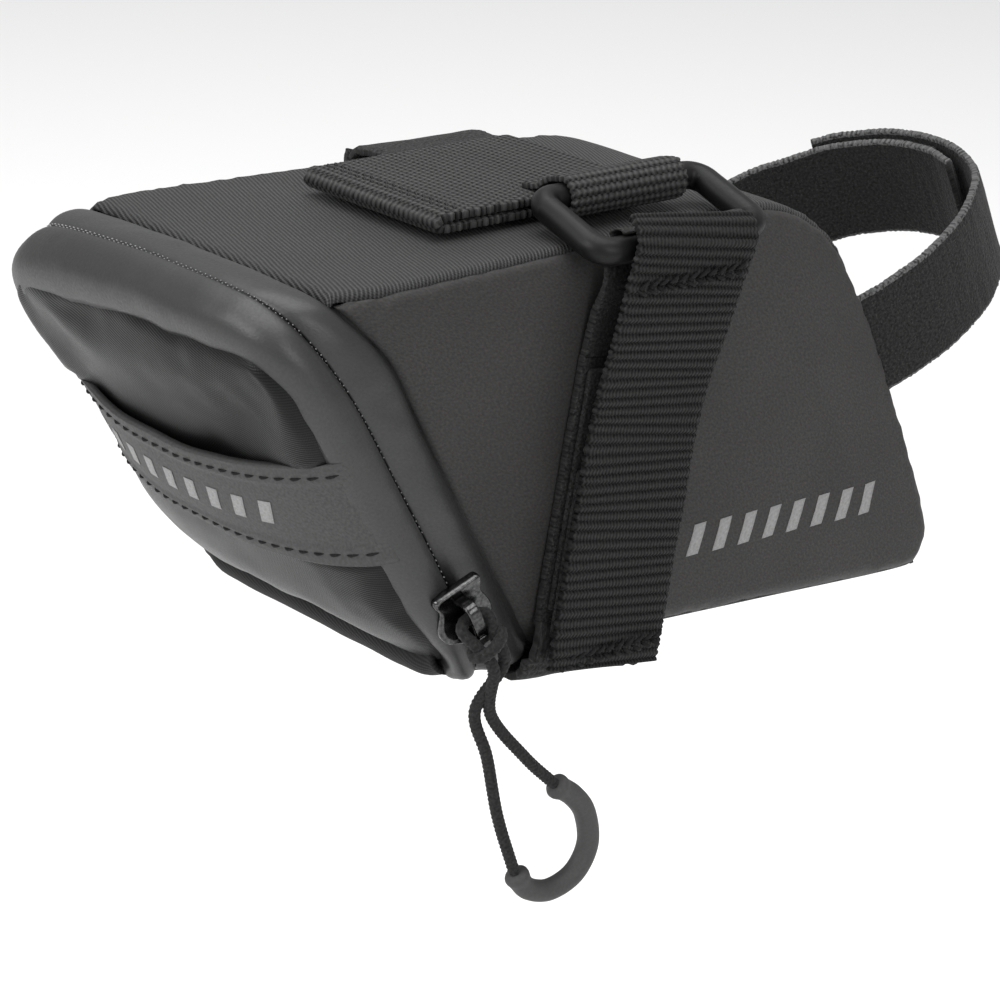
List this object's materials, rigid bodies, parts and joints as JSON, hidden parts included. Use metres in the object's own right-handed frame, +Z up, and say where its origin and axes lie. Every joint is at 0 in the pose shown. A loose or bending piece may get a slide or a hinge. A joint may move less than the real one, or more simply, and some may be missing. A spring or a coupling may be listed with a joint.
{
  "type": "saddle bag",
  "caption": "Wedge-shaped under-saddle bag with a zipped padded rear lid, light loop, webbing rail strap on a ring and a hook-and-loop seatpost strap.",
  "frame": {"origin": "middle of the rail pad's top face, where the saddle rails bear", "axes": "+X forward toward the seatpost, +Y to the bag's left, +Z up"},
  "size_m": [0.1832, 0.0828, 0.1167],
  "materials": {
    "twill": "twill weave",
    "coated": "matte coated cloth",
    "tape": "satin coated tape",
    "webbing": "ribbed webbing",
    "pile": "hook-and-loop pile",
    "board": "matt sheet",
    "gloss": "polished",
    "steel": "black plated",
    "cord": "braided",
    "rubber": "matt",
    "coil": "satin"
  },
  "bodies": {
    "shell": {"top_panel": "twill", "side_panel_right": "coated", "side_panel_left": "coated", "front_panel": "coated", "bottom_panel": "webbing", "base_stiffener": "board", "zip_tape_body": "tape", "zip_coil_body": "coil", "zip_stop_right": "steel", "zip_stop_left": "steel", "rail_pad": "webbing", "ring_keeper": "webbing", "main_strap": "pile", "strap_loop_patch": "pile", "post_strap_anchor": "webbing", "seam_binding_right": "webbing", "seam_binding_left": "webbing"},
    "lid": {"rear_lid": "twill", "light_loop": "coated", "zip_tape_lid": "tape", "zip_coil_lid": "coil", "lid_hinge_tape": "webbing"},
    "slider": {"zip_slider": "steel", "zip_slider_bridge": "steel"},
    "pull": {"pull_cord": "cord", "pull_grip": "rubber"},
    "ring": {"strap_ring": "gloss"},
    "tail": {"strap_tail": "webbing", "strap_hook_patch": "pile"},
    "arm_right": {"post_strap_right": "pile", "post_strap_hook": "pile"},
    "arm_left": {"post_strap_left": "pile"}
  },
  "joints": [
    {"name": "lid_hinge", "type": "hinge", "parent": "shell", "child": "lid", "pos_m": [-0.0228, 0, -0.0713], "axis": [0, -1, 0], "range_deg": [0, 100]},
    {"name": "zip_slider_travel", "type": "slide", "parent": "shell", "child": "slider", "axis": [-0.5013, -0.0432, 0.8642], "range_m": [0, 0.038]},
    {"name": "zip_pull_swing", "type": "hinge", "parent": "slider", "child": "pull", "pos_m": [-0.03075, -0.04145, -0.05814], "axis": [-0.8996, 0.1199, -0.4198], "range_deg": [0, 55]},
    {"name": "ring_pivot", "type": "hinge", "parent": "shell", "child": "ring", "pos_m": [0.0125, -0.022, 0.0007], "axis": [-1, 0, 0], "range_deg": [0, 14]},
    {"name": "tail_peel", "type": "hinge", "parent": "ring", "child": "tail", "pos_m": [0.0125, -0.0376, -0.0042], "axis": [-1, 0, 0], "range_deg": [0, 110]},
    {"name": "post_strap_right_open", "type": "hinge", "parent": "shell", "child": "arm_right", "pos_m": [0.07309, -0.0258, -0.03349], "axis": [0.423, 0, -0.9061], "range_deg": [0, 95]},
    {"name": "post_strap_left_open", "type": "hinge", "parent": "shell", "child": "arm_left", "pos_m": [0.07309, 0.0258, -0.03349], "axis": [-0.423, 0, 0.9061], "range_deg": [0, 38]}
  ],
  "couplings": [
    {"joint": "post_strap_left_open", "follows": "post_strap_right_open", "ratio": 0.4}
  ]
}
